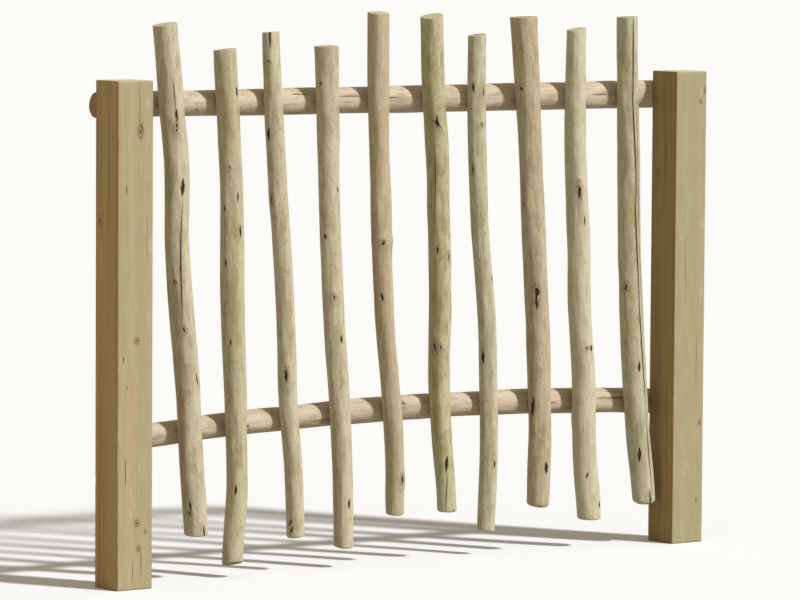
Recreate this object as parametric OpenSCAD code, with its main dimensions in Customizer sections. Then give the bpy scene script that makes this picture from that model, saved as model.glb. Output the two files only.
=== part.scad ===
// Railing bay of two square posts, two round rails behind them and ten crooked round pickets on the rails.
// Frame: +X along the rails, +Y to the back, +Z up. Origin: middle of the left post's foot.

/* [Posts] */
// Side of the square posts
post_side = 90; // [70:1:120]
// Height of the posts above their feet
post_height = 1100; // [850:5:1400]
// Length of the railing over the outer faces of its posts
railing_length = 1620; // [1300:5:2000]
// Bevel along the long edges of the posts
post_edge_bevel = 2; // [0.5:0.5:5]

/* [Upper rail] */
// Middle of the upper rail below the top of the posts
upper_rail_drop = 56; // [45:1:120]
// Diameter of the upper rail at its thin left end
upper_rail_thin_end = 55; // [44:1:70]
// Diameter of the upper rail at its thick right end
upper_rail_thick_end = 66; // [50:1:80]
// How far the upper rail stops short of the outer faces of the posts
upper_rail_setback = 14; // [0:1:30]

/* [Lower rail] */
// Height of the lower rail where it meets the left post
lower_rail_height = 315; // [250:1:420]
// How much higher the lower rail is at the right post
lower_rail_rise = 12; // [0:1:20]
// How far the lower rail bows upwards at its middle
lower_rail_bow = 25; // [0:1:30]
// Diameter of the lower rail at its thin left end
lower_rail_thin_end = 52; // [44:1:65]
// Diameter of the lower rail at its thick right end
lower_rail_thick_end = 59; // [50:1:75]
// How far the lower rail stops short of the outer faces of the posts
lower_rail_setback = 32; // [20:1:40]

/* [Pickets] */
// Nominal diameter of the pickets
picket_diameter = 50; // [40:1:60]
// Distance from the left post to the middle of the first picket
first_picket_gap = 107; // [90:1:140]
// Distance from the middle of the last picket to the right post
last_picket_gap = 87; // [80:1:120]
// Share of the natural crookedness of the pickets, 0 for straight poles
crookedness = 1; // [0:0.1:1.2]

/* [Seats] */
// Depth of the flats on the rails where they sit on the posts
rail_seat_depth = 3; // [1:0.5:6]
// Depth of the flats on the pickets where they sit on the rails
picket_seat_depth = 3; // [1:0.5:6]
// How far the flats on the pickets reach above and below a rail
picket_seat_margin = 12; // [5:1:25]
// Play left between a picket's flat and its rail
seat_gap = 0.2; // [0.1:0.1:0.5]

/* [Hidden] */

$fn = 48;
picket_sides = 16;
picket_rings = 30;
rail_sides = 24;
rail_rings = 24;

half_post = post_side / 2;
right_post_x = railing_length - post_side;
clear_span = right_post_x - post_side;
rail_front = half_post - rail_seat_depth;
upper_rail_height = post_height - upper_rail_drop;

// One row for each picket, from left to right. Its run is how far the pole wanders sideways at eight
// even steps from foot to top, and its girth is its thickness in percent of the nominal diameter at
// five even steps. The slopes of a saw cut are in x and in y, 0 for a square cut.
ASIDE = 0;     // step aside from the even spacing
BELOW = 1;     // length below the lower rail's middle
ABOVE = 2;     // length above the upper rail's middle
BOW = 3;       // bow to the front between the rails
FOOT_CUT = 4;  // slopes of the cut at the foot
TOP_CUT = 5;   // slopes of the cut at the top
RUN = 6;
GIRTH = 7;
PICKETS = [
    [0, 222, 175, 5, [0.08, 0.10], [0.04, -0.16],
     [52, 35, 24, 7, -8, -7, -21, -35], [102, 106, 108, 108, 108]],
    [4, 301, 119, -6, [-0.04, -0.28], [0.06, -0.08],
     [-1, 12, 12, 7, 4, 0, -10, -24], [90, 98, 104, 102, 98]],
    [3, 260, 155, 4, [0.16, 0.05], [0.02, -0.04],
     [40, 31, 13, 7, -5, -18, -27, -34], [80, 81, 84, 82, 75]],
    [-4, 295, 123, -3, [0.02, 0.12], [-0.01, -0.05],
     [33, 30, 22, 9, -2, -11, -16, -23], [92, 92, 98, 98, 107]],
    [-8, 234, 196, 6, [0.05, 0.14], [-0.10, -0.06],
     [46, 41, 21, 3, -6, -10, -11, -11], [84, 88, 89, 93, 97]],
    [10, 236, 188, -5, [0.03, 0.10], [-0.05, -0.24],
     [26, 13, 5, 9, 3, -3, -19, -26], [92, 96, 104, 104, 102]],
    [1, 289, 144, 5, [-0.16, 0.06], [0.04, -0.14],
     [16, 21, 16, 8, -10, -20, -23, -21], [78, 82, 80, 80, 84]],
    [1, 237, 184, -4, [0.00, 0.16], [0.00, -0.04],
     [16, 20, 18, 12, 0, -11, -24, -38], [98, 108, 110, 110, 124]],
    [-7, 272, 155, 3, [0.02, 0.08], [0.03, -0.16],
     [36, 20, 16, 2, -1, -11, -12, -8], [110, 111, 104, 97, 91]],
    [0, 237, 182, -5, [0.06, 0.16], [0.01, -0.05],
     [47, 30, 18, 11, 5, 1, -6, -12], [106, 114, 110, 104, 92]]
];

// Value a share t of the way through evenly spaced values, on a smooth curve through all of them
function smooth(values, t) =
    let (last = len(values) - 1,
         i = min(floor(t * last), last - 1),
         u = t * last - i,
         p0 = values[max(i - 1, 0)],
         p1 = values[i],
         p2 = values[i + 1],
         p3 = values[min(i + 2, last)])
    p1 + u * ((p2 - p0) + u * ((2 * p0 - 5 * p1 + 4 * p2 - p3) + u * (3 * p1 - 3 * p2 + p3 - p0))) / 2;

// Height of the lower rail's middle at a place along the railing
function lower_rail_z(x) =
    let (t = (x - half_post) / clear_span)
    lower_rail_height + lower_rail_rise * t + lower_rail_bow * 4 * t * (1 - t);

// Radius of a rail with the given end diameters at a place along the railing
function rail_radius(x, thin, thick) = (thin + (thick - thin) * x / right_post_x) / 2;

// Middle, foot, top and thickness of picket n, counted from 0
function picket_place(n) =
    let (step = (clear_span - first_picket_gap - last_picket_gap) / (len(PICKETS) - 1))
    half_post + first_picket_gap + step * n + PICKETS[n][ASIDE];
function picket_foot(n) = lower_rail_z(picket_place(n)) - PICKETS[n][BELOW];
function picket_top(n) = upper_rail_height + PICKETS[n][ABOVE];
function picket_length(n) = picket_top(n) - picket_foot(n);
function picket_radius(n, t) = picket_diameter / 2 * smooth(PICKETS[n][GIRTH], t) / 100;
function picket_x(n, t) = picket_place(n) + crookedness * smooth(PICKETS[n][RUN], t);

// Where the axis lies so that a picket's flats are equally deep on both rails, with its bow between them
function seat_y(n, t) = rail_front - seat_gap + picket_seat_depth - picket_radius(n, t);
function picket_y(n, t) =
    let (low = PICKETS[n][BELOW] / picket_length(n),
         high = 1 - PICKETS[n][ABOVE] / picket_length(n),
         u = (t - low) / (high - low))
    seat_y(n, low) + (seat_y(n, high) - seat_y(n, low)) * u - crookedness * PICKETS[n][BOW] * sin(180 * u);

// Closed solid through rings that all have the same number of points
module loft(rings) {
    sides = len(rings[0]);
    last = len(rings) - 1;
    polyhedron(
        points = [for (ring = rings) each ring],
        faces = concat(
            [[for (i = [0 : sides - 1]) i]],
            [for (k = [0 : last - 1], i = [0 : sides - 1])
                [k * sides + i, (k + 1) * sides + i,
                 (k + 1) * sides + (i + 1) % sides, k * sides + (i + 1) % sides]],
            [[for (i = [sides - 1 : -1 : 0]) last * sides + i]]
        )
    );
}

module post(x) {
    h = half_post;
    b = post_edge_bevel;
    translate([x, 0, 0]) linear_extrude(post_height)
        polygon([[b - h, -h], [h - b, -h], [h, b - h], [h, h - b],
                 [h - b, h], [b - h, h], [-h, h - b], [-h, b - h]]);
}

module left_post() {
    color("burlywood") post(0);
}

module right_post() {
    color("burlywood") post(right_post_x);
}

// Room taken by the posts, cut out of a rail of the given size so that it sits flat on their backs
module post_seats(z, size) {
    for (x = [0, right_post_x])
        translate([x - half_post, half_post - size, z - size])
            cube([post_side, size, 2 * size]);
}

module upper_rail() {
    start = upper_rail_setback - half_post;
    end = right_post_x - start;
    r1 = rail_radius(start, upper_rail_thin_end, upper_rail_thick_end);
    r2 = rail_radius(end, upper_rail_thin_end, upper_rail_thick_end);
    color("tan") difference() {
        translate([start, rail_front + r1, upper_rail_height])
            rotate([0, 0, atan((r2 - r1) / (end - start))])
            rotate([0, 90, 0])
            cylinder(h = end - start, r1 = r1, r2 = r2);
        post_seats(upper_rail_height, upper_rail_thick_end);
    }
}

module lower_rail() {
    start = lower_rail_setback - half_post;
    end = right_post_x - start;
    color("tan") difference() {
        loft([
            for (k = [0 : rail_rings])
                let (x = start + (end - start) * k / rail_rings,
                     r = rail_radius(x, lower_rail_thin_end, lower_rail_thick_end))
                [for (i = [0 : rail_sides - 1])
                    let (a = 360 * i / rail_sides)
                    [x, rail_front + r - r * cos(a), lower_rail_z(x) + r * sin(a)]]
        ]);
        post_seats(lower_rail_height, lower_rail_thick_end);
    }
}

// Room in front of a rail, cut out of picket n so that it sits flat on the rail
module rail_seat(n, z, rail_size) {
    reach = rail_size / 2 + picket_seat_margin;
    translate([picket_place(n) - picket_diameter, rail_front - seat_gap, z - reach])
        cube([2 * picket_diameter, picket_diameter, 2 * reach]);
}

module picket(n) {
    color("wheat") difference() {
        loft([
            for (k = [0 : picket_rings])
                let (t = k / picket_rings,
                     r = picket_radius(n, t),
                     z = picket_foot(n) + picket_length(n) * t,
                     cut = k == 0 ? PICKETS[n][FOOT_CUT] : k == picket_rings ? PICKETS[n][TOP_CUT] : [0, 0])
                [for (i = [0 : picket_sides - 1])
                    let (a = 360 * i / picket_sides,
                         side = [r * cos(a), r * sin(a)])
                    [picket_x(n, t) + side.x, picket_y(n, t) + side.y, z + cut * side]]
        ]);
        rail_seat(n, upper_rail_height, upper_rail_thick_end);
        rail_seat(n, lower_rail_z(picket_place(n)), lower_rail_thick_end);
    }
}

left_post();
right_post();
upper_rail();
lower_rail();
picket(0);  // picket_01
picket(1);  // picket_02
picket(2);  // picket_03
picket(3);  // picket_04
picket(4);  // picket_05
picket(5);  // picket_06
picket(6);  // picket_07
picket(7);  // picket_08
picket(8);  // picket_09
picket(9);  // picket_10
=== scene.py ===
"""Looks of a railing bay: two planed square posts, two round rails and ten crooked peeled pickets."""

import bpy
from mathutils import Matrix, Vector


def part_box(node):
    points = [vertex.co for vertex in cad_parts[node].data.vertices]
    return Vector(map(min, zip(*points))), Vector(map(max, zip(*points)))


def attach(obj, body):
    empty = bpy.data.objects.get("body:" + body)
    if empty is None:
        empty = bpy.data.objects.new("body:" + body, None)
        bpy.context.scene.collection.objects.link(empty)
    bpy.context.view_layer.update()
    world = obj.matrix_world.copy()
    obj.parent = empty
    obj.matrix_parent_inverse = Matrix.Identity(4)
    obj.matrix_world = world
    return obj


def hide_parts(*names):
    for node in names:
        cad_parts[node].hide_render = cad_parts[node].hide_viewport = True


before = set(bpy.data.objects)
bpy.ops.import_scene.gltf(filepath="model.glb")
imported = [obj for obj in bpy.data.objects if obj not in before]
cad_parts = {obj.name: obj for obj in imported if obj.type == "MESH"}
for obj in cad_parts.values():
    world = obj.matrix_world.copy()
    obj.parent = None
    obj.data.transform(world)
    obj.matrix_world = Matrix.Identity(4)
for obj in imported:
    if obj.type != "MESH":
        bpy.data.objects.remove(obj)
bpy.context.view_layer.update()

import math

import bpy
import numpy as np
from mathutils import Matrix, Vector
from mathutils.bvhtree import BVHTree

MM = 0.001
FRONT = np.array([0.0, -1.0, 0.0])
RIGHT = np.array([1.0, 0.0, 0.0])
DOWN = np.array([0.0, 0.0, -1.0])

# ---------------------------------------------------------------- finishes, as linear colours
CREAM = (0.555, 0.512, 0.385)
PALE_CREAM = (0.60, 0.56, 0.43)
OLIVE_CREAM = (0.51, 0.48, 0.325)
GREEN_CREAM = (0.525, 0.515, 0.385)
WARM_CREAM = (0.49, 0.435, 0.30)
RAIL_UPPER = (0.58, 0.51, 0.405)
RAIL_LOWER = (0.56, 0.49, 0.39)
TAN = (0.44, 0.365, 0.245)
SAP_OLIVE = (0.47, 0.455, 0.26)
OLIVE = (0.30, 0.275, 0.135)
BARK_BROWN = (0.17, 0.105, 0.050)
MOSS = (0.33, 0.33, 0.15)
RUST = (0.36, 0.20, 0.115)
CRACK_DARK = (0.026, 0.016, 0.008)
END_BROWN = (0.27, 0.15, 0.07)
POST_PALE = (0.43, 0.355, 0.215)
POST_GREEN = (0.375, 0.345, 0.205)
POST_PINK = (0.45, 0.335, 0.215)
POST_LATE = (0.34, 0.265, 0.14)
POST_TOP = (0.60, 0.54, 0.41)
RAIL_END = (0.72, 0.43, 0.20)
SAP_GREEN = (0.56, 0.53, 0.27)
SAP_RED = (0.50, 0.36, 0.27)
# painted shade for the posts' left faces: the left post's side away from the key light, the right post's darker still
# for the shade of the pickets beside it
SHADED_SIDE_BROWN = (0.52, 0.36, 0.135)
SHADED_SIDE_DARK = (0.345, 0.225, 0.085)
STEEL = (0.52, 0.50, 0.46)
MARK_SPREAD = 1.4
TOP_LEAN = math.radians(35.7)  # the saw cuts of the picket tops face this way left of the front

# ---------------------------------------------------------------- what grew on each picket
# A mark is (kind, height, turn, half length, half width, slant): heights and sizes in mm, turn in degrees
# from the front of the pole towards its right, slant in mm sideways for each mm upwards.
PICKETS = {
    "picket_01": dict(
        light=CREAM, dark=TAN, green=0.30, red=0.30, lumps=1.0, foot_round=3, sawn=POST_TOP, top_round=2,
        marks=[
            ("slit", 1020, -15, 15, 2.2, 0.04), ("eye", 1000, -20, 8, 4.5, 0), ("crack", 1070, -15, 36, 0.7, 0.02),
            ("slit", 990, -20, 3, 1.6, 0), ("hole", 865, -5, 19, 3.6, 0.05), ("crack", 700, -20, 145, 1.5, 0.05),
            ("eye", 555, -30, 9, 5, 0), ("slit", 445, 20, 14, 1.3, -0.1), ("slit", 165, -55, 12, 1.8, 0),
            ("eye", 150, -60, 6, 5, 0), ("slit", 110, 10, 12, 1.6, 0), ("eye", 660, -55, 5, 3.5, 0),
            ("moss", 900, -70, 110, 12, 0), ("rust", 300, -85, 190, 11, 0)]),
    "picket_02": dict(
        light=OLIVE_CREAM, dark=TAN, green=0.55, red=0.12, lumps=1.0, foot_round=3, sawn=TAN, top_round=2,
        marks=[
            ("slit", 1070, 25, 11, 2.4, 0), ("slit", 840, 0, 10, 1.3, 0.1), ("slit", 815, -70, 7, 1.2, 0),
            ("slit", 765, 10, 13, 1.6, -0.05), ("slit", 695, -70, 8, 1.3, 0), ("slit", 520, -50, 7, 1.4, 0),
            ("slit", 195, -40, 11, 2.2, 0.05), ("moss", 600, -30, 120, 14, 0), ("eye", 905, -40, 4, 3, 0)]),
    "picket_03": dict(
        light=CREAM, dark=TAN, green=0.35, red=0.10, lumps=0.8, foot_round=4, sawn=TAN, top_round=1.5,
        marks=[
            ("slit", 1195, -40, 30, 1.7, 0.02), ("eye", 1135, -55, 4, 3, 0), ("rust", 970, -80, 20, 5, 0.1),
            ("slit", 975, -80, 13, 2.4, 0.1), ("eye", 830, -80, 13, 4, 0), ("eye", 445, -40, 16, 5, 0),
            ("slit", 440, -40, 14, 2.6, 0), ("slit", 110, -70, 8, 1.8, 0.5), ("slit", 95, -60, 6, 1.6, 0.6)]),
    "picket_04": dict(
        light=CREAM, dark=TAN, green=0.18, red=0.30, lumps=0.9, foot_round=3.5, sawn=TAN, top_round=1.5,
        marks=[
            ("eye", 1085, -70, 5, 4, 0), ("slit", 850, 20, 7, 1.2, 0), ("slit", 745, -60, 6, 1.8, 0),
            ("eye", 610, -30, 8, 4, 0), ("slit", 515, 0, 9, 2.1, -0.08), ("slit", 145, 0, 11, 2.2, 0),
            ("rust", 180, -90, 130, 9, 0), ("moss", 520, -25, 40, 8, 0)]),
    "picket_05": dict(
        light=WARM_CREAM, dark=TAN, green=0.12, red=0.35, lumps=0.9, foot_round=3, sawn=POST_TOP, top_round=1.5,
        marks=[
            ("eye", 730, -25, 5, 4, 0), ("eye", 725, 40, 11, 3, 0), ("slit", 725, -30, 3, 3, 0),
            ("slit", 605, -45, 10, 2.2, -0.1), ("eye", 190, 10, 13, 5, 0), ("swell", 190, 45, 22, 12, 2.0), ("slit", 190, 10, 9, 2.4, 0),
            ("rust", 700, -95, 260, 9, 0), ("swell", 730, 0, 14, 60, 1.3)]),
    "picket_06": dict(
        light=OLIVE_CREAM, dark=OLIVE, green=0.95, red=0.05, lumps=1.2, foot_round=4, sawn=SAP_GREEN, top_round=2,
        marks=[
            ("slit", 995, -30, 14, 2.2, 0.1), ("slit", 990, -30, 8, 2.4, -0.9), ("crack", 850, -50, 110, 0.9, 0.02), ("slit", 990, -25, 5, 3, 0),
            ("eye", 690, 15, 12, 4, 0), ("slit", 705, -45, 9, 1.5, 0), ("eye", 485, -60, 16, 6, 0),
            ("eye", 485, -30, 8, 4, 0), ("hole", 220, -20, 18, 3.2, 0.15), ("crack", 160, -30, 50, 1.0, 0.1),
            ("moss", 560, -55, 330, 16, 0), ("moss", 1000, -60, 150, 14, 0)]),
    "picket_07": dict(
        light=GREEN_CREAM, dark=TAN, green=0.32, red=0.12, lumps=0.8, foot_round=3, sawn=SAP_RED, top_round=2,
        marks=[
            ("slit", 1070, -60, 10, 2, 0), ("eye", 1060, 10, 15, 4, 0), ("eye", 985, 0, 5, 4, 0),
            ("eye", 885, -70, 12, 4, 0), ("slit", 635, 40, 9, 2.4, 0.25), ("rust", 625, 35, 8, 4, 0.3),
            ("slit", 455, -70, 14, 2.8, 0), ("slit", 210, 10, 8, 1.6, 0), ("moss", 300, -20, 180, 9, 0)]),
    "picket_08": dict(
        light=WARM_CREAM, dark=(0.37, 0.30, 0.20), green=0.20, red=0.30, lumps=1.1, foot_round=8, sawn=TAN, top_round=2,
        marks=[
            ("hole", 1065, -65, 4, 2.4, 0), ("rust", 820, -85, 60, 12, 0), ("eye", 800, -80, 6, 4, 0),
            ("eye", 595, -40, 22, 7, 0), ("hole", 600, -35, 10, 3.8, 0), ("slit", 575, -40, 15, 2.2, 0),
            ("slit", 335, -70, 22, 3.2, 0.1), ("hole", 195, 5, 13, 3.6, 0), ("rust", 400, -80, 190, 9, 0),
            ("rust", 590, 40, 26, 4, 0), ("swell", 1230, 0, 28, 90, 1.4)]),
    "picket_09": dict(
        light=PALE_CREAM, dark=OLIVE_CREAM, green=0.25, red=0.12, lumps=0.9, foot_round=4, sawn=POST_TOP, top_round=2,
        marks=[
            ("eye", 1085, 40, 5, 4, 0), ("eye", 830, -25, 18, 5.5, 0), ("slit", 825, -25, 13, 2.4, 0),
            ("slit", 760, 0, 11, 1.1, 0.1), ("hole", 465, 15, 7, 3.4, 0), ("eye", 465, -10, 5, 4, 0),
            ("slit", 170, -30, 6, 1.8, 0.3), ("slit", 100, 35, 8, 2.2, 0), ("swell", 300, -110, 24, 14, 2.2)]),
    "picket_10": dict(
        light=GREEN_CREAM, dark=(0.42, 0.375, 0.24), green=0.62, red=0.05, lumps=0.9, foot_round=9, sawn=TAN, top_round=1.5,
        marks=[
            ("crack", 1130, -5, 115, 1.9, 0.02), ("crack", 930, -5, 150, 1.9, -0.03), ("crack", 700, 0, 160, 1.8, -0.02), ("crack", 800, 15, 330, 0.6, -0.01),
            ("crack", 455, 10, 160, 1.7, -0.03), ("crack", 215, 15, 110, 1.4, -0.02), ("eye", 600, -60, 14, 5.5, 0), ("slit", 415, -10, 12, 2.4, 0.1),
            ("hole", 210, -40, 17, 3.0, 0.12), ("slit", 105, 0, 20, 1.7, 0), ("moss", 700, -40, 300, 12, 0)]),
}

# Marks on the rails: height is the distance along the rail, turn goes from the front downwards.
RAILS = {
    "upper_rail": dict(
        light=RAIL_UPPER, dark=TAN, green=0.10, red=0.35, lumps=0.7, foot_round=3, sawn=RAIL_END, top_round=3,
        marks=[
            ("crack", 490, -35, 26, 0.8, 0), ("crack", 625, -20, 40, 0.8, 0.01), ("crack", 735, -10, 26, 0.7, 0),
            ("crack", 1330, -5, 30, 0.8, 0), ("eye", 215, 30, 5, 3, 0)]),
    "lower_rail": dict(
        light=RAIL_LOWER, dark=TAN, green=0.08, red=0.40, lumps=0.8, foot_round=3, sawn=RAIL_END, top_round=3,
        marks=[
            ("eye", 775, -25, 6, 5, 0), ("crack", 1190, 5, 22, 0.8, 0), ("crack", 560, 20, 60, 0.7, 0),
            ("eye", 350, 10, 5, 4, 0), ("crack", 1370, -15, 50, 0.8, 0)]),
}

# Marks on the posts: side of the post, place across it and height, half height, half width, in mm.
POSTS = {
    "left_post": dict(
        heart=(-110, 60), light=POST_PALE, side=SHADED_SIDE_BROWN, seed=1,
        knots=[("front", 12, 990, 15, 8), ("front", 4, 540, 8, 7), ("front", 5, 145, 8, 7), ("front", 27, 125, 5, 4),
               ("front", 9, 90, 7, 5), ("left", -27, 795, 9, 5)],
        cracks=[("front", 10, 1045, 62, 0.7), ("front", 16, 1000, 16, 1.1), ("front", -23, 865, 13, 1.4), ("front", -30, 500, 9, 1.2),
                ("front", -21, 440, 6, 1.2), ("front", -24, 255, 34, 1.3), ("front", 16, 60, 40, 0.9),
                ("front", -6, 40, 30, 0.8), ("front", 30, 760, 60, 0.6)]),
    "right_post": dict(
        heart=(130, 40), light=POST_GREEN, side=SHADED_SIDE_DARK, seed=7,
        knots=[("front", 41, 1055, 8, 5), ("front", 27, 1030, 5, 4), ("front", 26, 100, 5, 4), ("front", 34, 280, 7, 5),
               ("left", -22, 865, 9, 4), ("left", -14, 845, 4, 3)],
        cracks=[("front", -12, 640, 90, 0.6), ("front", 22, 420, 70, 0.7), ("left", 10, 600, 120, 0.8)]),
}


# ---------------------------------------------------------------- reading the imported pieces
def node_triangles(name):
    """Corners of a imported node's triangles, in metres."""
    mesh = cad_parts[name].data
    points = np.empty(3 * len(mesh.vertices))
    mesh.vertices.foreach_get("co", points)
    mesh.calc_loop_triangles()
    corners = np.empty(3 * len(mesh.loop_triangles), dtype=np.int64)
    mesh.loop_triangles.foreach_get("vertices", corners)
    return points.reshape(-1, 3)[corners.reshape(-1, 3)]


def slice_at(triangles, axis, level):
    """Points where a node's outline crosses a plane square to an axis."""
    above = triangles[:, :, axis] > level
    found = []
    for a, b in ((0, 1), (1, 2), (2, 0)):
        crossing = above[:, a] != above[:, b]
        p, q = triangles[crossing, a], triangles[crossing, b]
        share = (level - p[:, axis]) / (q[:, axis] - p[:, axis])
        found.append(p + (q - p) * share[:, None])
    return np.concatenate(found)


def pole_line(name, axis, samples=48, clear=16 * MM):
    """Levels along a pole, with its middle and radius at each, carried on straight to both ends."""
    triangles = node_triangles(name)
    low, high = triangles[:, :, axis].min(), triangles[:, :, axis].max()
    levels = np.linspace(low + clear, high - clear, samples)
    across = 0 if axis == 2 else 2
    rows = []
    for level in levels:
        cut = slice_at(triangles, axis, level)
        radius = np.ptp(cut[:, across]) / 2
        middle = cut[:, across].min() + radius
        depth = cut[:, 1].min() + radius if axis == 2 else cut[:, 1].max() - radius
        rows.append((middle, depth, radius))
    rows = np.array(rows)
    for _ in range(2):
        rows[1:-1] = (rows[:-2] + 2 * rows[1:-1] + rows[2:]) / 4
    step = levels[1] - levels[0]
    levels = np.concatenate([[levels[0] - 2 * step], levels, [levels[-1] + 2 * step]])
    rows = np.vstack([3 * rows[0] - 2 * rows[1], rows, 3 * rows[-1] - 2 * rows[-2]])
    return triangles, levels, rows


def end_cut(triangles, axis, end, middle, depth):
    """Level of a pole's end at its middle, and the slopes of its saw cut in x and y."""
    points = triangles.reshape(-1, 3)
    level = points[:, axis].min() if end == "low" else points[:, axis].max()
    near = points[np.abs(points[:, axis] - level) < 16 * MM]
    across = 0 if axis == 2 else 2
    table = np.column_stack([np.ones(len(near)), near[:, across] - middle, near[:, 1] - depth])
    answer = np.linalg.lstsq(table, near[:, axis], rcond=None)[0]
    return answer[0], answer[1], answer[2]


# ---------------------------------------------------------------- round poles
def wander(rng, levels, step):
    """Soft random wave along a pole, with a bend about every step."""
    count = int(np.ptp(levels) / step) + 4
    values = rng.normal(size=count)
    place = (levels - levels.min()) / step + 0.5
    k = np.floor(place).astype(int)
    t = place - k
    t = t * t * (3 - 2 * t)
    return values[k] * (1 - t) + values[k + 1] * t


def mark_bumps(marks, levels, angles, radius):
    """How far knots swell and pits sink, over the whole surface, in metres."""
    height = np.zeros((len(levels), len(angles)))
    for kind, level, turn, long, wide, slant in marks:
        if kind in ("moss", "rust", "crack"):
            continue
        along = levels[:, None] - level * MM
        around = (angles[None, :] - math.radians(turn) + math.pi) % (2 * math.pi) - math.pi
        across = around * radius[:, None] - slant * along
        if kind == "swell":
            height += MM * slant * np.exp(-(along / (long * MM)) ** 2 - (around * radius[:, None] / (wide * MM)) ** 2)
            continue
        if kind == "eye":
            swell, pit = 0.16 * min(long, 12), 0.9
        else:
            swell, pit = 0.5, 1.4
        wide_swell = (along / ((1.3 * long + 12) * MM)) ** 2 + (across / ((wide + 9) * MM)) ** 2
        wide_pit = (along / (0.8 * long * MM)) ** 2 + (across / ((wide + 0.6) * MM)) ** 2
        height += MM * (swell * np.exp(-wide_swell) - pit * np.exp(-wide_pit))
    return height


def mesh_piece(name, points, tips, attributes, finish):
    """A closed skin through rings of points, shut by a fan to a tip at each end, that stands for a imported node."""
    rings, sides = points.shape[:2]
    vertices = np.vstack([points.reshape(-1, 3), tips])
    ring = np.arange(sides)
    beside = (ring + 1) % sides
    base = np.arange(rings - 1)[:, None] * sides
    quads = np.stack([base + ring, base + beside, base + sides + beside, base + sides + ring], -1).reshape(-1, 4)
    last = (rings - 1) * sides
    foot_fan = np.stack([np.full(sides, len(vertices) - 2), beside, ring], -1)
    top_fan = np.stack([np.full(sides, len(vertices) - 1), last + ring, last + beside], -1)
    faces = quads.tolist() + foot_fan.tolist() + top_fan.tolist()
    mesh = bpy.data.meshes.new(name + "_wood")
    mesh.from_pydata(vertices.tolist(), [], faces)
    mesh.polygons.foreach_set("use_smooth", np.ones(len(faces), dtype=bool))
    for label, values in attributes.items():
        kind, field = ("FLOAT_VECTOR", "vector") if values.ndim == 2 else ("FLOAT", "value")
        mesh.attributes.new(label, kind, "POINT").data.foreach_set(field, values.ravel())
    mesh.update()
    piece = bpy.data.objects.new(name + "_wood", mesh)
    bpy.context.scene.collection.objects.link(piece)
    mesh.materials.append(finish)
    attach(piece, "root")
    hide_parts(name)
    return piece


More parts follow.
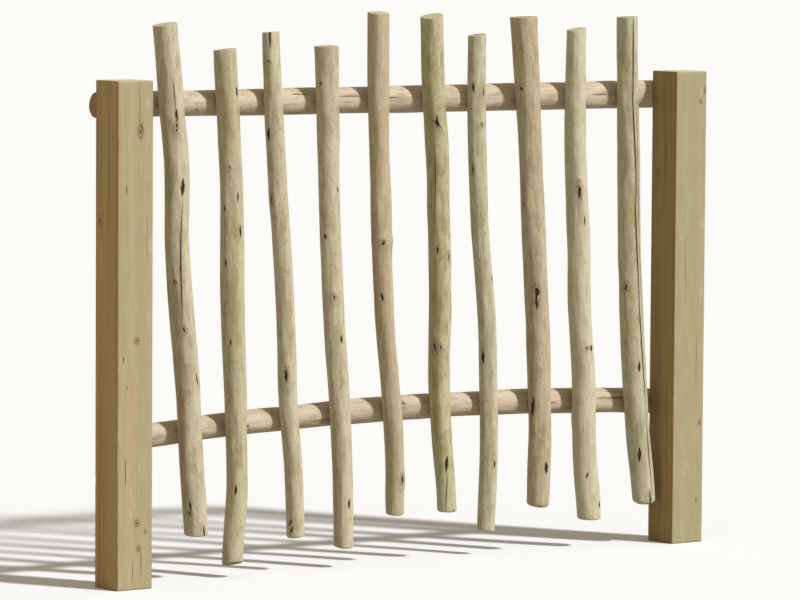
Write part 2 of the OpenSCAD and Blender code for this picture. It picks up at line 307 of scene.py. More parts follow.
def build_pole(name, style, axis, seats, step=2.8 * MM, sides=72):
    """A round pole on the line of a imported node: lumpy, knotty, sawn at both ends and flat on its seats."""
    triangles, line_levels, rows = pole_line(name, axis)
    middle_at = lambda level: np.interp(level, line_levels, rows[:, 0])
    depth_at = lambda level: np.interp(level, line_levels, rows[:, 1])
    first, last = line_levels[1], line_levels[-2]
    low, low_x, low_y = end_cut(triangles, axis, "low", middle_at(first), depth_at(first))
    high, high_x, high_y = end_cut(triangles, axis, "high", middle_at(last), depth_at(last))
    if axis == 2:
        sideways = high_x * math.cos(TOP_LEAN) - high_y * math.sin(TOP_LEAN)
        towards = abs(high_x * math.sin(TOP_LEAN) + high_y * math.cos(TOP_LEAN))
        high_x = sideways * math.cos(TOP_LEAN) + towards * math.sin(TOP_LEAN)
        high_y = towards * math.cos(TOP_LEAN) - sideways * math.sin(TOP_LEAN)
    foot_round, top_round = style["foot_round"] * MM, style["top_round"] * MM

    turns = np.linspace(0, math.pi / 2, 6)
    count = int((high - low - foot_round - top_round) / step)
    body = np.linspace(low + foot_round, high - top_round, count)
    caps = np.array([0.12, 0.35, 0.6, 0.82])
    levels = np.concatenate([
        np.full(4, low), low + foot_round * (1 - np.sin(turns[:-1])), body,
        high - top_round * (1 - np.sin(turns[1:])), np.full(4, high)])
    inset = np.concatenate([
        np.full(4, foot_round), foot_round * (1 - np.cos(turns[:-1])), np.zeros(count),
        top_round * (1 - np.cos(turns[1:])), np.full(4, top_round)])
    levels[4:9] = low + foot_round * (1 - np.sin(turns[:0:-1]))
    inset[4:9] = foot_round * (1 - np.cos(turns[:0:-1]))
    share = np.concatenate([caps, np.ones(len(levels) - 8), caps[::-1]])
    end = np.concatenate([np.ones(4), [1, 0.6, 0.2, 0, 0], np.zeros(count), [0, 0, 0.2, 0.6, 1], np.ones(4)])

    angles = np.arange(sides) * 2 * math.pi / sides
    radius = np.interp(levels, line_levels, rows[:, 2])
    rng = np.random.default_rng(sum(ord(c) * (i + 1) for i, c in enumerate(name)))
    bump = np.zeros((len(levels), sides))
    for waves, size, length in ((2, 0.75, 150), (3, 0.5, 110), (4, 0.32, 80), (5, 0.22, 60), (7, 0.12, 70), (11, 0.07, 90)):
        for wave in (np.cos(waves * angles), np.sin(waves * angles)):
            bump += MM * size * style["lumps"] * wander(rng, levels, length * MM)[:, None] * wave[None, :]
    bump += mark_bumps(style["marks"], levels, angles, radius)
    reach = (radius[:, None] + bump - inset[:, None]) * share[:, None]

    side = RIGHT if axis == 2 else DOWN
    out = FRONT[None, :] * np.cos(angles)[:, None] + side[None, :] * np.sin(angles)[:, None]
    points = np.empty((len(levels), sides, 3))
    across = 0 if axis == 2 else 2
    points[..., axis] = levels[:, None]
    points[..., across] = middle_at(levels)[:, None]
    points[..., 1] = depth_at(levels)[:, None]
    offset = out[None, :, :] * reach[..., None]
    points += offset
    for slope_x, slope_y, weight in (
            (low_x, low_y, np.clip(1 - (levels - low) / (20 * MM), 0, 1)),
            (high_x, high_y, np.clip(1 - (high - levels) / (20 * MM), 0, 1))):
        points[..., axis] += weight[:, None] * (slope_x * offset[..., across] + slope_y * offset[..., 1])
    for kind, begin, stop, depth in seats:
        inside = (points[..., axis] > begin) & (points[..., axis] < stop)
        limit = np.minimum if kind == "behind" else np.maximum
        points[..., 1] = np.where(inside, limit(points[..., 1], depth), points[..., 1])

    grain = np.stack([reach * np.cos(angles), reach * np.sin(angles), np.broadcast_to(levels[:, None], reach.shape)], -1)
    tips = []
    for k in (0, -1):
        tips.append(points[k].mean(axis=0))
    grains = np.vstack([grain.reshape(-1, 3), [[0, 0, low], [0, 0, high]]])
    ends = np.concatenate([np.repeat(end, sides), [1, 1]])

    return mesh_piece(name, points, tips, {"grain": grains, "end": ends}, round_wood(name, style))


# ---------------------------------------------------------------- square posts
def build_post(name, style):
    """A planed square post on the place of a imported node: eased corners, worn here and there, and sawn ends."""
    lo, hi = (np.array(corner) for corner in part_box(name))
    middle, half = (lo + hi) / 2, (hi[0] - lo[0]) / 2
    ease, side_count, rng = 2.4 * MM, 24, np.random.default_rng(int(style["seed"]))
    outline, outward, corner = [], [], []
    for quarter in range(4):
        turn = quarter * math.pi / 2
        along = np.array([math.cos(turn), math.sin(turn)])
        inward = np.array([-along[1], along[0]])
        for step in np.linspace(-1, 1, side_count):
            outline.append(-inward * half + along * step * (half - ease))
            outward.append(-inward)
            corner.append(max(0.0, (abs(step) - 0.94) / 0.06))
        for bend in (0.25, 0.5, 0.75):
            angle = bend * math.pi / 2
            direction = along * math.sin(angle) - inward * math.cos(angle)
            outline.append((along - inward) * (half - ease) + direction * ease)
            outward.append(direction)
            corner.append(1.0)
    outline, outward, corner = np.array(outline), np.array(outward), np.array(corner)
    sides = len(outline)

    body = np.arange(0, 221) / 220 * (hi[2] - 2 * ease) + ease
    levels = np.concatenate([[0, 0, 0, 0, 0.3 * ease], body, [hi[2] - 0.3 * ease], np.full(4, hi[2])])
    shrink = np.concatenate([np.full(4, ease), [0.3 * ease], np.zeros(221), [0.3 * ease], np.full(4, ease)])
    share = np.concatenate([[0.25, 0.55, 0.85, 1], np.ones(223), [1, 0.85, 0.55, 0.25]])
    wear = np.zeros((len(levels), sides))
    for place in range(sides):
        if corner[place] > 0:
            rough = 0.5 * wander(rng, levels, 22 * MM) + 0.35 * wander(rng, levels, 9 * MM)
            wear[:, place] = corner[place] * np.clip(rough - 0.45, 0, 1.2) * 0.9 * MM
    ripple = np.abs(wander(rng, levels, 60 * MM))[:, None] * 0.12 * MM
    wear += np.where(outward[:, 1] < 0.5, ripple, 0)
    flat = (outline[None] - outward[None] * (wear + shrink[:, None])[..., None]) * share[:, None, None]
    points = np.concatenate([flat + middle[:2], np.broadcast_to(levels[:, None, None], (len(levels), sides, 1))], -1)
    tips = [(middle[0], middle[1], 0.0), (middle[0], middle[1], hi[2])]
    return mesh_piece(name, points, tips, {}, post_wood(name, style))


# ---------------------------------------------------------------- finishes
class Wiring:
    """Short way to lay nodes in a tree: every call returns the new node's output."""

    def __init__(self, tree):
        self.tree = tree

    def plug(self, socket, value):
        if isinstance(value, bpy.types.NodeSocket):
            self.tree.links.new(value, socket)
        elif isinstance(value, tuple) and len(value) == 3 and socket.type == "RGBA":
            socket.default_value = (*value, 1)
        else:
            socket.default_value = value

    def add(self, kind, inputs, output=0, **settings):
        node = self.tree.nodes.new(kind)
        for key, value in settings.items():
            setattr(node, key, value)
        for key, value in inputs.items():
            self.plug(node.inputs[key], value)
        return node.outputs[output]

    def math(self, operation, *values):
        return self.add("ShaderNodeMath", dict(enumerate(values)), operation=operation)

    def vector(self, operation, *values, output=0):
        return self.add("ShaderNodeVectorMath", dict(enumerate(values)), output, operation=operation)

    def mix(self, share, a, b, blend="MIX"):
        return self.add("ShaderNodeMix", {0: share, 6: a, 7: b}, 2, data_type="RGBA", blend_type=blend)

    def soft(self, value, start, stop):
        """0 at start and 1 at stop, with a soft bend between."""
        return self.add("ShaderNodeMapRange", {0: value, 1: start, 2: stop}, interpolation_type="SMOOTHSTEP")

    def noise(self, vector, scale, detail=3, rough=0.5, distort=0.0):
        return self.add("ShaderNodeTexNoise", {
            "Vector": vector, "Scale": scale, "Detail": detail, "Roughness": rough, "Distortion": distort})

    def stretched(self, vector, across, along):
        return self.vector("MULTIPLY", vector, (across, across, along))

    def apart(self, vector):
        node = self.tree.nodes.new("ShaderNodeSeparateXYZ")
        self.plug(node.inputs[0], vector)
        return node.outputs


def new_group(name, inputs, outputs):
    """An empty shader group with the given sockets, its wiring and its two ends."""
    group = bpy.data.node_groups.new(name, "ShaderNodeTree")
    for direction, sockets in (("INPUT", inputs), ("OUTPUT", outputs)):
        for label, kind in sockets.items():
            group.interface.new_socket(name=label, in_out=direction, socket_type="NodeSocket" + kind)
    wires = Wiring(group)
    entry = group.nodes.new("NodeGroupInput")
    leave = group.nodes.new("NodeGroupOutput")
    return group, wires, entry.outputs, leave.inputs


def mark_frame(w, entry):
    """Distances from a mark: outwards, across the grain and along it, all in metres."""
    turned = w.add("ShaderNodeVectorRotate", {
        "Vector": entry["Grain"], "Angle": w.math("MULTIPLY", entry["Turn"], -1.0)}, rotation_type="Z_AXIS")
    outward, across, level = w.apart(turned)
    along = w.math("SUBTRACT", level, entry["Level"])
    wobble = w.math("SUBTRACT", w.noise(w.stretched(entry["Grain"], 40, 110), 1.0, 2), 0.5)
    across = w.math("SUBTRACT", across, w.math("MULTIPLY", entry["Slant"], along))
    across = w.math("ADD", across, w.math("MULTIPLY", wobble, w.math("MULTIPLY", entry["Wide"], 1.1)))
    return w.math("GREATER_THAN", outward, 0.0), across, along


MARK_INPUTS = {"Color": "Color", "Height": "Float", "Grain": "Vector", "Level": "Float", "Turn": "Float",
               "Long": "Float", "Wide": "Float", "Slant": "Float"}
MARK_OUTPUTS = {"Color": "Color", "Height": "Float"}


def slit_group():
    """A dark split along the grain, with a thin brown edge."""
    group, w, entry, leave = new_group("slit", MARK_INPUTS, MARK_OUTPUTS)
    facing, across, along = mark_frame(w, entry)
    reach = w.math("POWER", w.math("ABSOLUTE", w.math("DIVIDE", along, entry["Long"])), 2.0)
    near = w.math("ADD", w.math("DIVIDE", w.math("ABSOLUTE", across), entry["Wide"]), reach)
    core = w.math("MULTIPLY", w.soft(near, 1.15, 0.6), facing)
    wider = w.math("ADD", entry["Wide"], 2.4 * MM)
    around = w.math("ADD", w.math("DIVIDE", w.math("ABSOLUTE", across), wider), w.math("MULTIPLY", reach, 0.7))
    edge = w.math("MULTIPLY", w.soft(around, 1.1, 0.35), facing)
    color = w.mix(w.math("MULTIPLY", edge, 0.42), entry["Color"], BARK_BROWN)
    w.plug(leave["Color"], w.mix(core, color, CRACK_DARK))
    raised = w.math("ADD", entry["Height"], w.math("MULTIPLY", edge, 0.4 * MM))
    w.plug(leave["Height"], w.math("SUBTRACT", raised, w.math("MULTIPLY", core, 2.0 * MM)))
    return group


def eye_group():
    """A grown-over branch knot: a pale swollen face, a broken dark ring and a dark cleft at its heart."""
    group, w, entry, leave = new_group("eye", MARK_INPUTS, MARK_OUTPUTS)
    facing, across, along = mark_frame(w, entry)
    far = w.math("SQRT", w.math("ADD", w.math("POWER", w.math("DIVIDE", across, entry["Wide"]), 2.0),
                                w.math("POWER", w.math("ABSOLUTE", w.math("DIVIDE", along, entry["Long"])), 2.0)))
    rough = w.noise(w.vector("ADD", entry["Grain"], (0.3, 0.1, 0.0)), 190, 2)
    far = w.math("ADD", far, w.math("MULTIPLY", w.math("SUBTRACT", rough, 0.5), 1.1))
    broken = w.soft(w.noise(entry["Grain"], 240, 1), 0.34, 0.52)
    ring = w.math("MULTIPLY", w.math("MULTIPLY", w.soft(far, 0.70, 0.86), w.soft(far, 1.16, 0.98)), facing)
    ring = w.math("MULTIPLY", ring, w.math("ADD", w.math("MULTIPLY", broken, 0.75), 0.25))
    face = w.math("MULTIPLY", w.soft(far, 0.95, 0.6), facing)
    cleft = w.math("ADD", w.math("DIVIDE", w.math("ABSOLUTE", across), w.math("MULTIPLY", entry["Wide"], 0.42)),
                   w.math("POWER", w.math("ABSOLUTE", w.math("DIVIDE", along, w.math("MULTIPLY", entry["Long"], 0.7))), 2.0))
    heart = w.math("MULTIPLY", w.soft(cleft, 1.15, 0.55), facing)
    halo = w.math("MULTIPLY", w.soft(far, 2.6, 0.9), facing)
    color = w.mix(w.math("MULTIPLY", halo, 0.35), entry["Color"], TAN)
    color = w.mix(w.math("MULTIPLY", face, 0.30), color, w.mix(0.5, RUST, CREAM))
    color = w.mix(w.math("MULTIPLY", ring, 0.55), color, BARK_BROWN)
    w.plug(leave["Color"], w.mix(w.math("MULTIPLY", heart, 0.92), color, CRACK_DARK))
    height = w.math("ADD", entry["Height"], w.math("MULTIPLY", halo, 0.9 * MM))
    height = w.math("SUBTRACT", height, w.math("MULTIPLY", ring, 1.0 * MM))
    w.plug(leave["Height"], w.math("SUBTRACT", height, w.math("MULTIPLY", heart, 1.8 * MM)))
    return group


def stain_group(name, tint, strength):
    """A soft tinted patch that follows the fibres."""
    group, w, entry, leave = new_group(name, MARK_INPUTS, MARK_OUTPUTS)
    facing, across, along = mark_frame(w, entry)
    far = w.math("SQRT", w.math("ADD", w.math("POWER", w.math("DIVIDE", across, entry["Wide"]), 2.0),
                                w.math("POWER", w.math("ABSOLUTE", w.math("DIVIDE", along, entry["Long"])), 2.0)))
    patchy = w.noise(w.stretched(entry["Grain"], 120, 22), 1.0, 4, 0.6)
    far = w.math("ADD", far, w.math("MULTIPLY", w.math("SUBTRACT", patchy, 0.5), 2.0))
    patch = w.math("MULTIPLY", w.math("MULTIPLY", w.soft(far, 1.3, 0.3), facing), strength)
    w.plug(leave["Color"], w.mix(patch, entry["Color"], tint))
    w.plug(leave["Height"], entry["Height"])
    return group


def peeled_group():
    """Peeled round wood: soft mottling, long fibres, green and red casts, pin knots and sawn ends."""
    group, w, entry, leave = new_group("peeled_wood", {
        "Grain": "Vector", "End": "Float", "Light": "Color", "Dark": "Color", "Green": "Float", "Red": "Float", "Sawn": "Color"},
        MARK_OUTPUTS)
    grain = entry["Grain"]
    mottle = w.noise(w.stretched(grain, 75, 24), 1.0, 5, 0.65, 0.5)
    patches = w.noise(w.stretched(grain, 30, 11), 1.0, 4, 0.6)
    fibres = w.noise(w.stretched(grain, 380, 20), 1.0, 4, 0.65)
    threads = w.noise(w.stretched(grain, 1300, 70), 1.0, 2, 0.6)
    pebbles = w.noise(w.stretched(grain, 330, 190), 1.0, 3, 0.6)
    color = w.mix(w.soft(mottle, 0.42, 0.70), entry["Light"], entry["Dark"])
    greenish = w.math("MULTIPLY", w.soft(patches, 0.46, 0.62), entry["Green"])
    color = w.mix(greenish, color, w.mix(w.soft(mottle, 0.45, 0.6), SAP_OLIVE, w.mix(0.5, MOSS, OLIVE)))
    reddish = w.math("MULTIPLY", w.soft(w.noise(w.stretched(grain, 40, 9), 1.0, 3), 0.52, 0.70), entry["Red"])
    color = w.mix(w.math("MULTIPLY", reddish, 0.6), color, RUST)
    streak = w.soft(fibres, 0.30, 0.70)
    color = w.mix(0.32, color, w.mix(streak, (0.36, 0.34, 0.31), (0.64, 0.64, 0.64)), "OVERLAY")
    color = w.mix(0.20, color, w.mix(w.soft(pebbles, 0.32, 0.68), (0.36, 0.35, 0.33), (0.64, 0.64, 0.64)), "OVERLAY")
    ticks = w.noise(w.stretched(grain, 240, 75), 1.0, 3, 0.6)
    color = w.mix(w.math("MULTIPLY", w.soft(ticks, 0.66, 0.73), 0.55), color, BARK_BROWN)
    dots = w.add("ShaderNodeTexVoronoi", {"Vector": w.stretched(grain, 150, 50), "Scale": 1.0})
    color = w.mix(w.math("MULTIPLY", w.soft(dots, 0.17, 0.08), 0.6), color, BARK_BROWN)
    lines = w.noise(w.stretched(grain, 260, 6), 1.0, 3, 0.6)
    color = w.mix(w.math("MULTIPLY", w.soft(lines, 0.60, 0.69), 0.40), color, BARK_BROWN)

    x, y, level = w.apart(grain)
    far = w.math("SQRT", w.math("ADD", w.math("POWER", x, 2.0), w.math("POWER", y, 2.0)))
    far = w.math("ADD", far, w.math("MULTIPLY", w.noise(grain, 70, 2), 5 * MM))
    rings = w.math("SINE", w.math("MULTIPLY", far, 2 * math.pi / (2.6 * MM)))
    sawn = w.mix(w.math("MULTIPLY", w.soft(rings, -0.6, 0.9), 0.4), entry["Sawn"], END_BROWN)
    sawn = w.mix(w.math("MULTIPLY", w.soft(w.noise(grain, 130, 3), 0.5, 0.75), 0.5), sawn, BARK_BROWN)
    sawn = w.mix(w.math("MULTIPLY", w.soft(level, 0.3, 0.2), 0.65), sawn, BARK_BROWN)
    around = w.math("ARCTAN2", y, x)
    star = w.math("ABSOLUTE", w.math("SINE", w.math("ADD", w.math("MULTIPLY", around, 1.5), w.noise(grain, 90, 1))))
    split = w.math("MULTIPLY", w.soft(star, 0.10, 0.03), w.soft(far, 18 * MM, 10 * MM))
    sawn = w.mix(w.math("MULTIPLY", split, 0.85), sawn, CRACK_DARK)
    rim = w.math("MULTIPLY", w.soft(entry["End"], 0.0, 0.35), w.soft(entry["End"], 1.0, 0.6))
    color = w.mix(w.soft(entry["End"], 0.2, 0.7), color, sawn)
    w.plug(leave["Color"], w.mix(w.math("MULTIPLY", rim, 0.45), color, BARK_BROWN))

    height = w.math("MULTIPLY", fibres, 0.55 * MM)
    height = w.math("ADD", height, w.math("MULTIPLY", threads, 0.12 * MM))
    height = w.math("ADD", height, w.math("MULTIPLY", pebbles, 0.25 * MM))
    height = w.math("ADD", height, w.math("MULTIPLY", mottle, 2.4 * MM))
    w.plug(leave["Height"], height)
    return group


groups = {
    "peeled": peeled_group(), "slit": slit_group(), "eye": eye_group(),
    "moss": stain_group("moss", MOSS, 0.55), "rust": stain_group("rust", RUST, 0.5),
}
groups["hole"] = groups["crack"] = groups["slit"]


def finish_material(name, w, color, height, roughness=0.72):
    """Closes a wood finish: matt, with its grain as bump."""
    shader = w.tree.nodes.new("ShaderNodeBsdfPrincipled")
    shader.inputs["Roughness"].default_value = roughness
    shader.inputs["Specular IOR Level"].default_value = 0.25
    w.plug(shader.inputs["Base Color"], color)
    w.plug(shader.inputs["Normal"], w.add("ShaderNodeBump", {"Strength": 0.8, "Distance": 1.0, "Height": height}))
    leave = w.tree.nodes.new("ShaderNodeOutputMaterial")
    w.tree.links.new(shader.outputs[0], leave.inputs["Surface"])


def blank_material(name):
    material = bpy.data.materials.new(name)
    material.use_nodes = True
    material.node_tree.nodes.clear()
    return material, Wiring(material.node_tree)


def round_wood(name, style):
    """The finish of one pole: peeled wood with the marks that this pole has."""
    material, w = blank_material("peeled_" + name)
    grain = w.add("ShaderNodeAttribute", {}, 1, attribute_name="grain")
    end = w.add("ShaderNodeAttribute", {}, 2, attribute_name="end")
    base = w.tree.nodes.new("ShaderNodeGroup")
    base.node_tree = groups["peeled"]
    for label, value in (("Grain", grain), ("End", end), ("Light", style["light"]), ("Dark", style["dark"]),
                         ("Green", style["green"]), ("Red", style["red"]), ("Sawn", style["sawn"])):
        w.plug(base.inputs[label], value)
    color, height = base.outputs
    shown = [mark for mark in style["marks"] if mark[0] != "swell"]
    order = sorted(shown, key=lambda mark: mark[0] not in ("moss", "rust"))
    for kind, level, turn, long, wide, slant in order:
        if kind in ("slit", "eye", "hole"):
            long, wide = long * 1.15, wide * MARK_SPREAD
        mark = w.tree.nodes.new("ShaderNodeGroup")
        mark.node_tree = groups[kind]
        for label, value in (("Color", color), ("Height", height), ("Grain", grain), ("Level", level * MM),
                             ("Turn", math.radians(turn)), ("Long", long * MM), ("Wide", wide * MM), ("Slant", slant)):
            w.plug(mark.inputs[label], value)
        color, height = mark.outputs
    finish_material(name, w, color, height)
    return material


def post_wood(name, style):
    """Planed pine: growth rings about a heart beside the post, with its knots and cracks, and painted shade on its left
    face.
    """
    material, w = blank_material("planed_" + name)
    place = w.add("ShaderNodeTexCoord", {}, 3)
    lo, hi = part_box(name)
    centre = ((lo[0] + hi[0]) / 2, (lo[1] + hi[1]) / 2, 0.0)
    local = w.vector("SUBTRACT", place, centre)
    x, y, z = w.apart(local)
    heart = style["heart"]
    sway = w.noise(w.stretched(local, 4, 1.6), 1.0, 2)
    away = w.vector("SUBTRACT", local, (heart[0] * MM, heart[1] * MM, 0.0))
    ax, ay, az = w.apart(away)
    far = w.math("SQRT", w.math("ADD", w.math("POWER", ax, 2.0), w.math("POWER", ay, 2.0)))
    far = w.math("ADD", far, w.math("MULTIPLY", sway, 22 * MM))
    far = w.math("ADD", far, w.math("MULTIPLY", w.noise(w.stretched(local, 60, 5), 1.0, 3), 2.4 * MM))

    shadow = None
    for side, across, level, long, wide in style["knots"]:
        flat, other = (x, y) if side == "front" else (y, x)
        u = w.math("DIVIDE", w.math("SUBTRACT", flat, (across if side == "front" else -across) * MM), wide * MM)
        v = w.math("DIVIDE", w.math("SUBTRACT", z, level * MM), long * MM)
        on_face = w.math("LESS_THAN", other, -40 * MM)
        size = w.math("SQRT", w.math("ADD", w.math("POWER", u, 2.0), w.math("POWER", v, 2.0)))
        size = w.math("ADD", size, w.math("MULTIPLY", w.math("SUBTRACT", on_face, 1.0), -50.0))
        shadow = size if shadow is None else w.math("MINIMUM", shadow, size)
    knot_far = w.math("ADD", shadow, w.math("MULTIPLY", w.math("SUBTRACT", w.noise(local, 120, 2), 0.5), 0.35))
    far = w.math("ADD", far, w.math("MULTIPLY", w.soft(knot_far, 5.0, 0.6), 6 * MM))

    rings = w.math("SINE", w.math("MULTIPLY", far, 2 * math.pi / (7.5 * MM)))
    faint = w.soft(w.noise(w.stretched(local, 45, 1.2), 1.0, 2), 0.38, 0.62)
    band = w.math("MULTIPLY", w.soft(rings, -0.4, 1.0), w.math("ADD", w.math("MULTIPLY", faint, 0.8), 0.2))
    broad = w.noise(w.stretched(local, 30, 1.1), 1.0, 3, 0.5)
    rosy = w.noise(w.vector("ADD", w.stretched(local, 38, 1.6), (5.0, 3.0, 1.0)), 1.0, 3, 0.5)
    cloudy = w.noise(w.stretched(local, 46, 13), 1.0, 4, 0.6)
    color = w.mix(w.soft(broad, 0.42, 0.60), style["light"], POST_GREEN)
    color = w.mix(w.math("MULTIPLY", w.soft(rosy, 0.50, 0.66), 0.75), color, POST_PINK)
    color = w.mix(w.math("MULTIPLY", w.soft(cloudy, 0.45, 0.72), 0.40), color, POST_LATE)
    color = w.mix(w.math("MULTIPLY", w.soft(cloudy, 0.42, 0.25), 0.5), color, POST_TOP)
    color = w.mix(w.math("MULTIPLY", band, 0.30), color, POST_LATE)
    # painted shade: the post's left face, away from the key light, gets a darker, browner tone, with the growth rings
    # still on it
    shade_side = w.soft(x, -42 * MM, -44.6 * MM)
    shaded_side_tone = w.mix(w.soft(broad, 0.40, 0.62), style["side"], w.mix(0.35, style["side"], BARK_BROWN))
    color = w.mix(w.math("MULTIPLY", shade_side, 0.9), color, w.mix(w.math("MULTIPLY", band, 0.35), shaded_side_tone, BARK_BROWN))
    fibres = w.noise(w.stretched(local, 900, 16), 1.0, 3, 0.6)
    color = w.mix(0.25, color, w.mix(w.soft(fibres, 0.3, 0.7), (0.42, 0.42, 0.42), (0.6, 0.6, 0.6)), "OVERLAY")
    ducts = w.noise(w.stretched(local, 520, 26), 1.0, 2, 0.5)
    color = w.mix(w.math("MULTIPLY", w.soft(ducts, 0.70, 0.80), 0.45), color, BARK_BROWN)

    ring = w.math("MULTIPLY", w.soft(knot_far, 0.6, 0.85), w.soft(knot_far, 1.2, 0.95))
    color = w.mix(w.math("MULTIPLY", w.soft(knot_far, 2.4, 0.9), 0.30), color, POST_LATE)
    color = w.mix(w.math("MULTIPLY", w.soft(knot_far, 1.0, 0.7), 0.30), color, RUST)
    color = w.mix(w.math("MULTIPLY", ring, 0.75), color, BARK_BROWN)
    color = w.mix(w.math("MULTIPLY", w.soft(knot_far, 0.5, 0.25), 0.75), color, CRACK_DARK)
    height = w.math("MULTIPLY", fibres, 0.15 * MM)
    height = w.math("SUBTRACT", height, w.math("MULTIPLY", band, 0.12 * MM))

    wobble = w.math("MULTIPLY", w.math("SUBTRACT", w.noise(w.stretched(local, 12, 60), 1.0, 2), 0.5), 3 * MM)
    for side, across, level, long, wide in style["cracks"]:
        flat, other = (x, y) if side == "front" else (y, x)
        u = w.math("SUBTRACT", flat, (across if side == "front" else -across) * MM)
        u = w.math("DIVIDE", w.math("ABSOLUTE", w.math("ADD", u, wobble)), wide * MM)
        v = w.math("POWER", w.math("ABSOLUTE", w.math("DIVIDE", w.math("SUBTRACT", z, level * MM), long * MM)), 2.0)
        core = w.math("MULTIPLY", w.soft(w.math("ADD", u, v), 1.2, 0.5), w.math("LESS_THAN", other, -40 * MM))
        color = w.mix(w.math("MULTIPLY", core, 0.8), color, CRACK_DARK)
        height = w.math("SUBTRACT", height, w.math("MULTIPLY", core, 1.0 * MM))

    both = w.math("ADD", w.math("ABSOLUTE", x), w.math("ABSOLUTE", y))
    worn = w.math("MULTIPLY", w.soft(both, 86.5 * MM, 88.0 * MM), w.soft(w.noise(local, 40, 3), 0.35, 0.6))
    color = w.mix(w.math("MULTIPLY", worn, 0.55), color, w.mix(0.4, BARK_BROWN, MOSS))
    top = w.math("ABSOLUTE", w.math("SUBTRACT", z, hi[2] / 2))
    sawn = w.soft(top, hi[2] / 2 - 0.6 * MM, hi[2] / 2 - 0.2 * MM)
    ends = w.mix(w.math("MULTIPLY", w.soft(rings, -0.5, 0.9), 0.4), POST_TOP, POST_LATE)
    color = w.mix(sawn, color, ends)
    finish_material(name, w, color, height, 0.66)
    return material


# ---------------------------------------------------------------- screws
def screw_steel():
    """Dull zinc with a yellow cast, scratched about its recess."""
    material, w = blank_material("dull_zinc")
    place = w.add("ShaderNodeTexCoord", {}, 3)
    cloud = w.noise(place, 900, 3)
    scratch = w.noise(w.vector("MULTIPLY", place, (4000, 300, 300)), 1.0, 2)
    color = w.mix(w.soft(cloud, 0.4, 0.65), STEEL, w.mix(0.4, STEEL, RUST))
    shader = w.tree.nodes.new("ShaderNodeBsdfPrincipled")
    shader.inputs["Metallic"].default_value = 0.85
    w.plug(shader.inputs["Base Color"], color)
    w.plug(shader.inputs["Roughness"], w.add("ShaderNodeMapRange", {0: scratch, 3: 0.38, 4: 0.6}))
    w.plug(shader.inputs["Normal"], w.add("ShaderNodeBump", {
        "Strength": 0.5, "Distance": 1.0, "Height": w.math("MULTIPLY", cloud, 0.05 * MM)}))
    w.plug(w.tree.nodes.new("ShaderNodeOutputMaterial").inputs["Surface"], shader.outputs[0])
    return material


def screw_tree():
    """Puts a cross-recessed pan head on every point, standing out along +Y."""
    tree = bpy.data.node_groups.new("screw_heads", "GeometryNodeTree")
    tree.interface.new_socket(name="Geometry", in_out="INPUT", socket_type="NodeSocketGeometry")
    sizes = {"Head diameter": 9 * MM, "Head height": 2.6 * MM, "Recess width": 1.1 * MM, "Recess length": 5.2 * MM}
    for label, size in sizes.items():
        tree.interface.new_socket(name=label, in_out="INPUT", socket_type="NodeSocketFloat").default_value = size
    tree.interface.new_socket(name="Finish", in_out="INPUT", socket_type="NodeSocketMaterial")
    tree.interface.new_socket(name="Geometry", in_out="OUTPUT", socket_type="NodeSocketGeometry")
    w = Wiring(tree)
    entry = tree.nodes.new("NodeGroupInput").outputs
    leave = tree.nodes.new("NodeGroupOutput")
    radius = w.math("MULTIPLY", entry["Head diameter"], 0.5)
    low = w.math("MULTIPLY", entry["Head height"], 0.55)
    drum = w.add("GeometryNodeMeshCylinder", {"Vertices": 32, "Radius": radius, "Depth": entry["Head height"]})
    dome = w.add("GeometryNodeMeshCone", {
        "Vertices": 32, "Radius Bottom": radius, "Radius Top": w.math("MULTIPLY", radius, 0.72), "Depth": low})
    dome = w.add("GeometryNodeTransform", {
        "Geometry": dome, "Translation": w.add("ShaderNodeCombineXYZ", {2: w.math("MULTIPLY", entry["Head height"], 0.5)})})
    joined = w.add("GeometryNodeJoinGeometry", {})
    join = tree.nodes[-1]
    for part in (dome, drum):
        tree.links.new(part, join.inputs[0])
    bars = tree.nodes.new("GeometryNodeJoinGeometry")
    depth = w.math("MULTIPLY", entry["Head height"], 3.2)
    for size in ((entry["Recess length"], entry["Recess width"]), (entry["Recess width"], entry["Recess length"])):
        bar = w.add("GeometryNodeMeshCube", {"Size": w.add("ShaderNodeCombineXYZ", {0: size[0], 1: size[1], 2: depth})})
        bar = w.add("GeometryNodeTransform", {
            "Geometry": bar, "Translation": w.add("ShaderNodeCombineXYZ", {2: w.math("MULTIPLY", entry["Head height"], 1.9)})})
        tree.links.new(bar, bars.inputs[0])
    head = tree.nodes.new("GeometryNodeMeshBoolean")
    head.operation = "DIFFERENCE"
    tree.links.new(joined, head.inputs["Mesh 1"])
    tree.links.new(bars.outputs[0], head.inputs["Mesh 2"])
    spin = w.add("FunctionNodeRandomValue", {2: 0.0, 3: math.pi, "Seed": 7}, 1)
    turn = w.add("ShaderNodeCombineXYZ", {0: -math.pi / 2, 2: 0.0})
    placed = w.add("GeometryNodeInstanceOnPoints", {"Points": entry["Geometry"], "Instance": head.outputs[0], "Rotation": turn})
    placed = w.add("GeometryNodeRotateInstances", {
        "Instances": placed, "Rotation": w.add("ShaderNodeCombineXYZ", {2: spin})})
    placed = w.add("GeometryNodeRealizeInstances", {"Geometry": placed})
    tree.links.new(w.add("GeometryNodeSetMaterial", {"Geometry": placed, "Material": entry["Finish"]}), leave.inputs[0])
    return tree


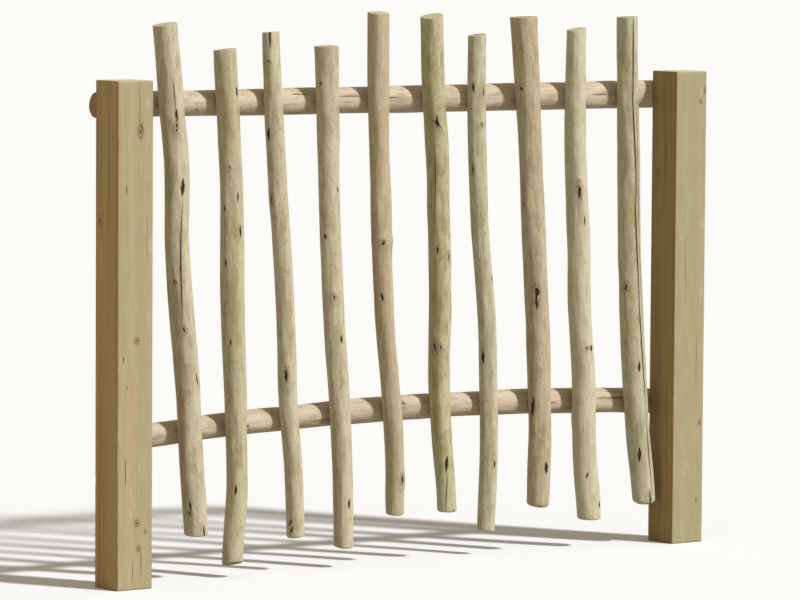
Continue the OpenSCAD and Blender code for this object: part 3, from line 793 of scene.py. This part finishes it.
def fix_screws(places):
    """Screw heads bedded in the back of the rails, one behind each picket and two behind each post."""
    seats = {}
    for name, piece in rail_pieces.items():
        points = [vertex.co.copy() for vertex in piece.data.vertices]
        seats[name] = BVHTree.FromPolygons(points, [list(face.vertices) for face in piece.data.polygons])
    points = []
    for rail, x in places:
        height = rail_at(upper if rail == "upper_rail" else lower, x)[0]
        hit = seats[rail].ray_cast(Vector((x, 1.0, height)), Vector((0, -1, 0)))[0]
        points.append((hit.x, hit.y + 0.3 * MM, hit.z))
    mesh = bpy.data.meshes.new("screw_places")
    mesh.from_pydata(points, [], [])
    holder = bpy.data.objects.new("screw_places", mesh)
    bpy.context.scene.collection.objects.link(holder)
    modifier = holder.modifiers.new("heads", "NODES")
    modifier.node_group = screw_tree()
    for item in modifier.node_group.interface.items_tree:
        if item.name == "Finish":
            modifier[item.identifier] = screw_steel()
    evaluated = holder.evaluated_get(bpy.context.evaluated_depsgraph_get())
    solid = bpy.data.meshes.new_from_object(evaluated)
    holder.modifiers.clear()
    bpy.data.objects.remove(holder)
    solid.name = "rail_screws"
    piece = bpy.data.objects.new("rail_screws", solid)
    bpy.context.scene.collection.objects.link(piece)
    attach(piece, "root")


# ---------------------------------------------------------------- building the pieces
upper, lower = node_triangles("upper_rail"), node_triangles("lower_rail")
post_lo, post_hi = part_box("left_post")
far_lo, far_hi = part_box("right_post")
post_back = post_hi[1]


def rail_at(triangles, x):
    """Middle height, front, back and radius of a rail at a place along the railing."""
    cut = slice_at(triangles, 0, x)
    low, high = cut[:, 2].min(), cut[:, 2].max()
    return (low + high) / 2, cut[:, 1].min(), cut[:, 1].max(), (high - low) / 2


screw_places, rail_pieces = [], {}
for name, style in PICKETS.items():
    lo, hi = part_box(name)
    triangles = node_triangles(name)
    seats = []
    for rail in (upper, lower):
        height, front, back, radius = rail_at(rail, (lo[0] + hi[0]) / 2)
        cut = slice_at(triangles, 2, height)
        middle = (cut[:, 0].min() + cut[:, 0].max()) / 2
        height, front, back, radius = rail_at(rail, middle)
        screw_places.append(("upper_rail" if rail is upper else "lower_rail", middle))
        seat_back = slice_at(triangles, 2, height)[:, 1].max()
        reach = radius + 11 * MM
        seats.append(("behind", height - reach, height + reach, seat_back))
    build_pole(name, style, 2, seats)

rail_front = min(slice_at(upper, 0, 0.7)[:, 1].min(), slice_at(lower, 0, 0.7)[:, 1].min())
for name, style in RAILS.items():
    box_lo, box_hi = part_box(name)
    seats = [("before", box_lo[0] - 1, box_hi[0] + 1, rail_front),
             ("before", box_lo[0] - 1, post_hi[0], post_back),
             ("before", far_lo[0], box_hi[0] + 1, post_back)]
    rail_pieces[name] = build_pole(name, style, 0, seats, step=3.2 * MM)

for name, style in POSTS.items():
    build_post(name, style)

for inset in (12 * MM, 36 * MM):
    for rail in ("upper_rail", "lower_rail"):
        screw_places += [(rail, post_hi[0] - inset), (rail, far_lo[0] + inset)]
fix_screws(screw_places)

# ---------------------------------------------------------------- floor, light and camera
def seen_directly(w):
    """1 for what the camera sees, straight, mirrored or through something clear; 0 for light that falls on the railing."""
    path = w.tree.nodes.new("ShaderNodeLightPath").outputs
    return w.math("MAXIMUM", path["Is Camera Ray"], w.math("MAXIMUM", path["Is Glossy Ray"], path["Is Transmission Ray"]))


floor_mesh = bpy.data.meshes.new("floor")
floor_mesh.from_pydata([(-150, -150, 0), (150, -150, 0), (150, 150, 0), (-150, 150, 0)], [], [(0, 1, 2, 3)])
floor = bpy.data.objects.new("floor", floor_mesh)
bpy.context.scene.collection.objects.link(floor)
material, w = blank_material("pale_floor")
shade = w.mix(seen_directly(w), (0.42, 0.40, 0.36), (0.865, 0.92, 1.0))
diffuse = w.add("ShaderNodeBsdfDiffuse", {"Color": shade})
leave = w.tree.nodes.new("ShaderNodeOutputMaterial")
w.plug(leave.inputs["Surface"], diffuse)
floor_mesh.materials.append(material)

scene = bpy.context.scene
world = bpy.data.worlds.new("studio")
scene.world = world
world.use_nodes = True
world.node_tree.nodes.clear()
w = Wiring(world.node_tree)
sky = w.mix(seen_directly(w), (0.38, 0.32, 0.235), (1.0, 1.0, 1.0))
leave = w.tree.nodes.new("ShaderNodeOutputWorld")
w.plug(leave.inputs["Surface"], w.add("ShaderNodeBackground", {"Color": sky, "Strength": 1.0}))

key = bpy.data.lights.new("key", "SUN")
key.energy = 3.5
key.color = (1.0, 0.98, 0.95)
key.angle = math.radians(5)
lamp = bpy.data.objects.new("key", key)
lamp.rotation_mode = "QUATERNION"
lamp.rotation_quaternion = Vector((0.5, -1.0, 1.0)).to_track_quat("Z", "Y")
scene.collection.objects.link(lamp)

yaw, pitch, roll = math.radians(35.71), math.radians(4.38), math.radians(0.38)
ahead = Vector((math.sin(yaw) * math.cos(pitch), math.cos(yaw) * math.cos(pitch), -math.sin(pitch)))
level = Vector((math.cos(yaw), -math.sin(yaw), 0))
upright = level.cross(ahead)
camera_right = level * math.cos(roll) + upright * math.sin(roll)
camera_up = upright * math.cos(roll) - level * math.sin(roll)
camera = bpy.data.cameras.new("camera")
camera.lens = 230.3
camera.sensor_width = 36
camera.clip_end = 500
eye = bpy.data.objects.new("camera", camera)
eye.matrix_world = Matrix((
    (camera_right.x, camera_up.x, -ahead.x, -5.944),
    (camera_right.y, camera_up.y, -ahead.y, -9.289),
    (camera_right.z, camera_up.z, -ahead.z, 1.473),
    (0, 0, 0, 1)))
scene.collection.objects.link(eye)
scene.camera = eye
scene.view_settings.view_transform = "Standard"
